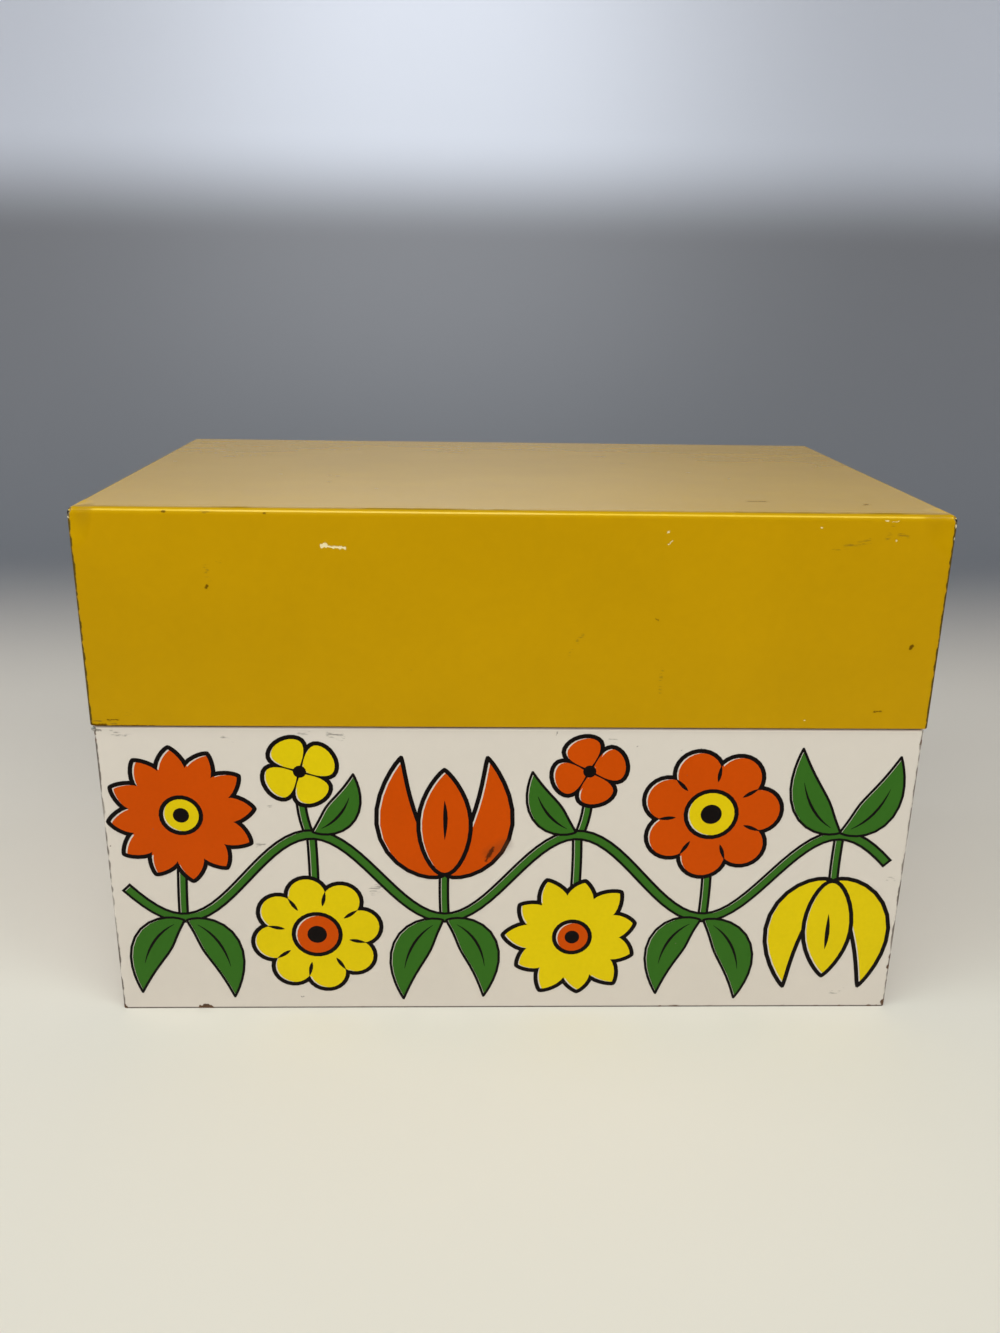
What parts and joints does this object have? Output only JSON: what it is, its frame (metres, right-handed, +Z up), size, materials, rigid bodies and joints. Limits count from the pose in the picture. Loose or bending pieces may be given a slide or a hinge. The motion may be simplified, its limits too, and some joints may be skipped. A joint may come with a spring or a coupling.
{
  "type": "recipe card box",
  "caption": "Sheet-steel recipe card box: a cream enamelled base with a printed flower front, an inner lip, and a yellow hinged lid that opens backwards.",
  "frame": {"origin": "middle of the closed box's footprint, on the surface that it stands on", "axes": "+X along the width, to the right seen from the front; +Y from the front to the hinged back; +Z up"},
  "size_m": [0.1404, 0.0844, 0.0918],
  "materials": {
    "cream_enamel": "gloss enamel",
    "yellow_enamel": "gloss enamel",
    "tinplate": "bare tinplate",
    "hinge_steel": "worn tinplate",
    "pin_wire": "drawn wire"
  },
  "bodies": {
    "base": {"base_shell": "cream_enamel", "base_bottom": "tinplate", "inner_lip": "tinplate", "hinge_leaf_base_left": "hinge_steel", "hinge_leaf_base_right": "hinge_steel", "hinge_pin_left": "pin_wire", "hinge_pin_right": "pin_wire"},
    "lid": {"lid_shell": "yellow_enamel", "hinge_leaf_lid_left": "hinge_steel", "hinge_leaf_lid_right": "hinge_steel"}
  },
  "joints": [
    {"name": "lid_hinge", "type": "hinge", "parent": "base", "child": "lid", "pos_m": [0, 0.04086, 0.05322], "axis": [-1, 0, 0], "range_deg": [0, 105]}
  ]
}
